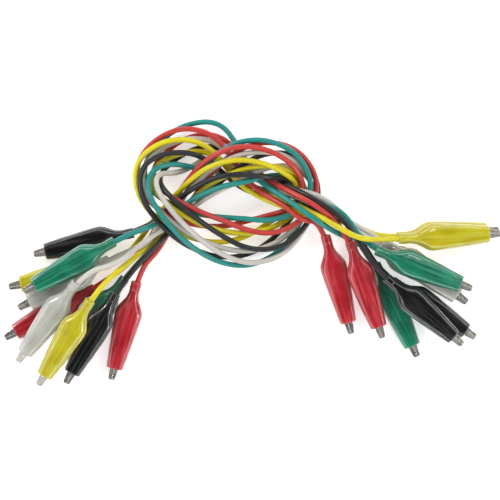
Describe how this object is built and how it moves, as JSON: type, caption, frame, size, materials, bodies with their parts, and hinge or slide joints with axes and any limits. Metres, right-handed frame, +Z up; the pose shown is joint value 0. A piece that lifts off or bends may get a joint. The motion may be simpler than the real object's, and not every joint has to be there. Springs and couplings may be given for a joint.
{
  "type": "set of alligator clip test leads",
  "caption": "Set of coloured test leads tied in a loose knot, each a flexible jacketed wire with a booted, sprung alligator clip at both ends.",
  "frame": {"origin": "on the table under the middle of the box round the clips, which lie at both ends of the knotted set", "axes": "+Z up from the table; +X from the left fan of clips to the right fan; +Y away from a viewer who has the clips' tips lower left and right"},
  "size_m": [0.2188, 0.1177, 0.0261],
  "materials": {
    "boot_black": "soft glossy vinyl",
    "wire_black": "satin extruded PVC",
    "boot_red": "soft glossy vinyl",
    "wire_red": "satin extruded PVC",
    "boot_yellow": "soft glossy vinyl",
    "wire_yellow": "satin extruded PVC",
    "boot_green": "soft glossy vinyl",
    "wire_green": "satin extruded PVC",
    "boot_white": "soft glossy vinyl",
    "wire_white": "satin extruded PVC",
    "jaw_steel": "nickel-plated pressed steel",
    "rivet_steel": "plated rivet",
    "spring_steel": "drawn spring wire",
    "copper": "bare stranded copper"
  },
  "bodies": {
    "lead_set": {"left_boot_black_1": "boot_black", "left_boot_yellow_1": "boot_yellow", "left_boot_green_1": "boot_green", "left_boot_white_1": "boot_white", "left_boot_red_2": "boot_red", "left_boot_white_2": "boot_white", "left_boot_yellow_2": "boot_yellow", "left_boot_green_2": "boot_green", "left_boot_black_2": "boot_black", "left_boot_red_1": "boot_red", "right_boot_yellow_2": "boot_yellow", "right_boot_yellow_1": "boot_yellow", "right_boot_green_1": "boot_green", "right_boot_white_1": "boot_white", "right_boot_black_1": "boot_black", "right_boot_black_2": "boot_black", "right_boot_white_2": "boot_white", "right_boot_green_2": "boot_green", "right_boot_red_1": "boot_red", "right_boot_red_2": "boot_red", "fixed_jaws_black": "jaw_steel", "fixed_jaws_red": "jaw_steel", "fixed_jaws_yellow": "jaw_steel", "fixed_jaws_green": "jaw_steel", "fixed_jaws_white": "jaw_steel", "left_rivet_pins": "rivet_steel", "left_torsion_springs": "spring_steel", "right_rivet_pins": "rivet_steel", "right_torsion_springs": "spring_steel", "copper_ends": "copper", "wire_black_1": "wire_black", "wire_black_2": "wire_black", "wire_red_1": "wire_red", "wire_red_2": "wire_red", "wire_yellow_1": "wire_yellow", "wire_yellow_2": "wire_yellow", "wire_green_1": "wire_green", "wire_green_2": "wire_green", "wire_white_1": "wire_white", "wire_white_2": "wire_white"},
    "left_jaw_black_1": {"left_moving_jaw_black_1": "jaw_steel"},
    "left_jaw_yellow_1": {"left_moving_jaw_yellow_1": "jaw_steel"},
    "left_jaw_green_1": {"left_moving_jaw_green_1": "jaw_steel"},
    "left_jaw_white_1": {"left_moving_jaw_white_1": "jaw_steel"},
    "left_jaw_red_2": {"left_moving_jaw_red_2": "jaw_steel"},
    "left_jaw_white_2": {"left_moving_jaw_white_2": "jaw_steel"},
    "left_jaw_yellow_2": {"left_moving_jaw_yellow_2": "jaw_steel"},
    "left_jaw_green_2": {"left_moving_jaw_green_2": "jaw_steel"},
    "left_jaw_black_2": {"left_moving_jaw_black_2": "jaw_steel"},
    "left_jaw_red_1": {"left_moving_jaw_red_1": "jaw_steel"},
    "right_jaw_yellow_2": {"right_moving_jaw_yellow_2": "jaw_steel"},
    "right_jaw_yellow_1": {"right_moving_jaw_yellow_1": "jaw_steel"},
    "right_jaw_green_1": {"right_moving_jaw_green_1": "jaw_steel"},
    "right_jaw_white_1": {"right_moving_jaw_white_1": "jaw_steel"},
    "right_jaw_black_1": {"right_moving_jaw_black_1": "jaw_steel"},
    "right_jaw_black_2": {"right_moving_jaw_black_2": "jaw_steel"},
    "right_jaw_white_2": {"right_moving_jaw_white_2": "jaw_steel"},
    "right_jaw_green_2": {"right_moving_jaw_green_2": "jaw_steel"},
    "right_jaw_red_1": {"right_moving_jaw_red_1": "jaw_steel"},
    "right_jaw_red_2": {"right_moving_jaw_red_2": "jaw_steel"}
  },
  "joints": [
    {"name": "left_black_1_jaw_hinge", "type": "hinge", "parent": "lead_set", "child": "left_jaw_black_1", "pos_m": [-0.0792, 0.0253, 0.0043], "axis": [0.0853, 0.0181, -0.9962], "range_deg": [0, 25], "stiffness_Nm_per_rad": 0.05, "springref_deg": -28.65, "deforming": ["left_boot_black_1", "left_torsion_springs"]},
    {"name": "left_yellow_1_jaw_hinge", "type": "hinge", "parent": "lead_set", "child": "left_jaw_yellow_1", "pos_m": [-0.0902, 0.0111, 0.0031], "axis": [0, 0, 1], "range_deg": [0, 25], "stiffness_Nm_per_rad": 0.05, "springref_deg": -28.65, "deforming": ["left_boot_yellow_1", "left_torsion_springs"]},
    {"name": "left_green_1_jaw_hinge", "type": "hinge", "parent": "lead_set", "child": "left_jaw_green_1", "pos_m": [-0.0842, 0.0137, 0.0158], "axis": [0, 0, -1], "range_deg": [0, 25], "stiffness_Nm_per_rad": 0.05, "springref_deg": -28.65, "deforming": ["left_boot_green_1", "left_torsion_springs"]},
    {"name": "left_white_1_jaw_hinge", "type": "hinge", "parent": "lead_set", "child": "left_jaw_white_1", "pos_m": [-0.087, 0.0061, 0.0094], "axis": [0, 0, -1], "range_deg": [0, 25], "stiffness_Nm_per_rad": 0.05, "springref_deg": -28.65, "deforming": ["left_boot_white_1", "left_torsion_springs"]},
    {"name": "left_red_2_jaw_hinge", "type": "hinge", "parent": "lead_set", "child": "left_jaw_red_2", "pos_m": [-0.0936, -0.0069, 0.0031], "axis": [0, 0, 1], "range_deg": [0, 25], "stiffness_Nm_per_rad": 0.05, "springref_deg": -28.65, "deforming": ["left_boot_red_2", "left_torsion_springs"]},
    {"name": "left_white_2_jaw_hinge", "type": "hinge", "parent": "lead_set", "child": "left_jaw_white_2", "pos_m": [-0.0924, -0.0121, 0.0122], "axis": [-0.1659, -0.2201, 0.9613], "range_deg": [0, 25], "stiffness_Nm_per_rad": 0.05, "springref_deg": -28.65, "deforming": ["left_boot_white_2", "left_torsion_springs"]},
    {"name": "left_yellow_2_jaw_hinge", "type": "hinge", "parent": "lead_set", "child": "left_jaw_yellow_2", "pos_m": [-0.0842, -0.0213, 0.0166], "axis": [0.1372, 0.2195, -0.9659], "range_deg": [0, 25], "stiffness_Nm_per_rad": 0.05, "springref_deg": -28.65, "deforming": ["left_boot_yellow_2", "left_torsion_springs"]},
    {"name": "left_green_2_jaw_hinge", "type": "hinge", "parent": "lead_set", "child": "left_jaw_green_2", "pos_m": [-0.073, -0.0109, 0.0031], "axis": [0, 0, 1], "range_deg": [0, 25], "stiffness_Nm_per_rad": 0.05, "springref_deg": -28.65, "deforming": ["left_boot_green_2", "left_torsion_springs"]},
    {"name": "left_black_2_jaw_hinge", "type": "hinge", "parent": "lead_set", "child": "left_jaw_black_2", "pos_m": [-0.073, -0.0199, 0.0109], "axis": [-0.0338, -0.061, 0.9976], "range_deg": [0, 25], "stiffness_Nm_per_rad": 0.05, "springref_deg": -28.65, "deforming": ["left_boot_black_2", "left_torsion_springs"]},
    {"name": "left_red_1_jaw_hinge", "type": "hinge", "parent": "lead_set", "child": "left_jaw_red_1", "pos_m": [-0.0574, -0.0171, 0.0055], "axis": [-0.0449, -0.1677, 0.9848], "range_deg": [0, 25], "stiffness_Nm_per_rad": 0.05, "springref_deg": -28.65, "deforming": ["left_boot_red_1", "left_torsion_springs"]},
    {"name": "right_yellow_2_jaw_hinge", "type": "hinge", "parent": "lead_set", "child": "right_jaw_yellow_2", "pos_m": [0.0924, 0.0299, 0.0108], "axis": [0.1044, 0.0055, 0.9945], "range_deg": [0, 25], "stiffness_Nm_per_rad": 0.05, "springref_deg": -28.65, "deforming": ["right_boot_yellow_2", "right_torsion_springs"]},
    {"name": "right_yellow_1_jaw_hinge", "type": "hinge", "parent": "lead_set", "child": "right_jaw_yellow_1", "pos_m": [0.092, 0.0311, 0.0031], "axis": [0, 0, 1], "range_deg": [0, 25], "stiffness_Nm_per_rad": 0.05, "springref_deg": -28.65, "deforming": ["right_boot_yellow_1", "right_torsion_springs"]},
    {"name": "right_green_1_jaw_hinge", "type": "hinge", "parent": "lead_set", "child": "right_jaw_green_1", "pos_m": [0.0803, 0.013, 0.0158], "axis": [0, 0, 1], "range_deg": [0, 25], "stiffness_Nm_per_rad": 0.05, "springref_deg": -28.65, "deforming": ["right_boot_green_1", "right_torsion_springs"]},
    {"name": "right_white_1_jaw_hinge", "type": "hinge", "parent": "lead_set", "child": "right_jaw_white_1", "pos_m": [0.0807, 0.0106, 0.0094], "axis": [0, 0, 1], "range_deg": [0, 25], "stiffness_Nm_per_rad": 0.05, "springref_deg": -28.65, "deforming": ["right_boot_white_1", "right_torsion_springs"]},
    {"name": "right_black_1_jaw_hinge", "type": "hinge", "parent": "lead_set", "child": "right_jaw_black_1", "pos_m": [0.0846, -0.0055, 0.0053], "axis": [0.1368, -0.0923, 0.9863], "range_deg": [0, 25], "stiffness_Nm_per_rad": 0.05, "springref_deg": -28.65, "deforming": ["right_boot_black_1", "right_torsion_springs"]},
    {"name": "right_black_2_jaw_hinge", "type": "hinge", "parent": "lead_set", "child": "right_jaw_black_2", "pos_m": [0.0796, -0.0067, 0.0123], "axis": [0.1246, -0.1083, 0.9863], "range_deg": [0, 25], "stiffness_Nm_per_rad": 0.05, "springref_deg": -28.65, "deforming": ["right_boot_black_2", "right_torsion_springs"]},
    {"name": "right_white_2_jaw_hinge", "type": "hinge", "parent": "lead_set", "child": "right_jaw_white_2", "pos_m": [0.0774, 0.013, 0.0031], "axis": [0, 0, 1], "range_deg": [0, 25], "stiffness_Nm_per_rad": 0.05, "springref_deg": -28.65, "deforming": ["right_boot_white_2", "right_torsion_springs"]},
    {"name": "right_green_2_jaw_hinge", "type": "hinge", "parent": "lead_set", "child": "right_jaw_green_2", "pos_m": [0.0662, -0.0079, 0.0031], "axis": [0, 0, 1], "range_deg": [0, 25], "stiffness_Nm_per_rad": 0.05, "springref_deg": -28.65, "deforming": ["right_boot_green_2", "right_torsion_springs"]},
    {"name": "right_red_1_jaw_hinge", "type": "hinge", "parent": "lead_set", "child": "right_jaw_red_1", "pos_m": [0.0521, 0.0011, 0.0089], "axis": [-0.0453, 0.1316, -0.9903], "range_deg": [0, 25], "stiffness_Nm_per_rad": 0.05, "springref_deg": -28.65, "deforming": ["right_boot_red_1", "right_torsion_springs"]},
    {"name": "right_red_2_jaw_hinge", "type": "hinge", "parent": "lead_set", "child": "right_jaw_red_2", "pos_m": [0.0397, 0.0032, 0.0048], "axis": [-0.036, 0.1344, -0.9903], "range_deg": [0, 25], "stiffness_Nm_per_rad": 0.05, "springref_deg": -28.65, "deforming": ["right_boot_red_2", "right_torsion_springs"]}
  ]
}
